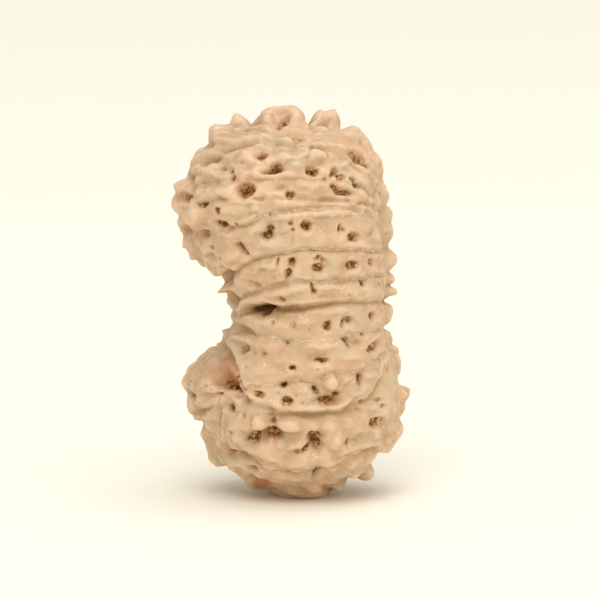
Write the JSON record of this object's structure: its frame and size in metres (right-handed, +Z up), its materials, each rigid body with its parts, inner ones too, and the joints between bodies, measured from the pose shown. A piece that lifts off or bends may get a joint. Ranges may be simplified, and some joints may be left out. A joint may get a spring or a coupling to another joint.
{
  "type": "rudraksha seed stone",
  "caption": "Whole rudraksha seed stone, kidney shaped, with ribbed, knobbed and pitted sides and an open crack; stands on a small flat spot.",
  "frame": {"origin": "middle of the footprint of the whole stone, on the level it stands on", "axes": "+Z up along the long way of the stone, -X towards the notch, -Y towards the viewer of the picture"},
  "size_m": [0.015, 0.0142, 0.025],
  "materials": {
    "stone": "dull, smooth, pale tan"
  },
  "bodies": {
    "root": {"rudraksha_bead": "stone"}
  },
  "joints": []
}
